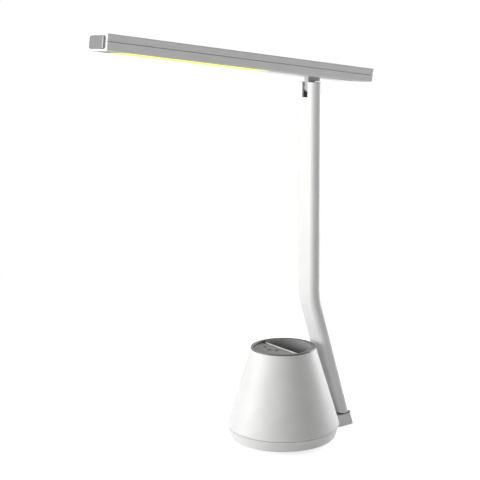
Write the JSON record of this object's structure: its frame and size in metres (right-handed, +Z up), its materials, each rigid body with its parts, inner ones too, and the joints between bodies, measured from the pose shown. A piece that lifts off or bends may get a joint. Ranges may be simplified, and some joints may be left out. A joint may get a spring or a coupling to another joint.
{
  "type": "desk lamp",
  "caption": "Rechargeable desk lamp: a conical base that is a pen cup with a touch panel, a bent arm hinged at its foot, and a long tilting light bar.",
  "frame": {"origin": "centre of the round base where its pad meets the desk", "axes": "+Z up, +X towards the tip of the light bar, +Y across the lamp"},
  "size_m": [0.3573, 0.1344, 0.4777],
  "materials": {
    "white_shell": "satin white moulded plastic",
    "white_paint": "satin white powder coat",
    "grey_plastic": "matt grey moulded plastic",
    "trim_grey": "dark grey satin ring",
    "touch_face": "smooth grey touch panel",
    "touch_print": "dark printed marks",
    "bright_trim": "bright satin rail",
    "pad_rubber": "black rubber",
    "steel": "plain steel",
    "hinge_dark": "black coated steel",
    "dark_plastic": "black moulded plastic",
    "cell_wrap": "blue shrink wrap",
    "circuit_board": "green solder mask",
    "board_white": "white coated aluminium board",
    "led_yellow": "yellow phosphor",
    "reflector_white": "white reflector",
    "diffuser_lit": "milky diffuser, lit yellow",
    "lead_black": "black insulation",
    "heat_alu": "plain aluminium"
  },
  "bodies": {
    "base": {"base_shell": "white_shell", "base_cover": "white_shell", "base_pad": "pad_rubber", "trim_ring": "trim_grey", "pen_cup": "grey_plastic", "divider_rail": "bright_trim", "touch_panel": "touch_face", "touch_marks": "touch_print", "touch_board": "circuit_board", "ballast_plate": "steel", "battery_tray": "dark_plastic", "battery_cells": "cell_wrap", "main_board": "circuit_board", "board_spacers": "grey_plastic", "charge_socket": "steel", "cover_screws": "steel", "ballast_screws": "steel", "foot_block": "white_paint", "foot_screws": "steel", "rear_pad": "pad_rubber", "hinge_leaf_lower": "hinge_dark", "leaf_screws_lower": "steel", "hinge_pin": "steel"},
    "arm": {"hinge_leaf_upper": "hinge_dark", "leaf_screws_upper": "steel", "arm_foot_plug": "dark_plastic", "arm_tube": "white_paint", "arm_fork": "dark_plastic", "arm_lead": "lead_black", "tilt_pin": "steel", "tilt_washers": "steel"},
    "head": {"head_neck": "grey_plastic", "neck_screws": "steel", "head_housing": "white_shell", "head_cover": "white_shell", "diffuser": "diffuser_lit", "reflector": "reflector_white", "led_board": "board_white", "led_chips": "led_yellow", "heat_bar": "heat_alu", "head_lead": "lead_black", "tip_seal": "dark_plastic", "tip_insert": "grey_plastic"}
  },
  "joints": [
    {"name": "arm_fold", "type": "hinge", "parent": "base", "child": "arm", "pos_m": [-0.09426, 0, 0.0161], "axis": [0, -1, 0], "range_deg": [0, 75]},
    {"name": "head_tilt", "type": "hinge", "parent": "arm", "child": "head", "pos_m": [-0.0385, 0, 0.417], "axis": [0, 1, 0], "range_deg": [-25, 96]}
  ]
}
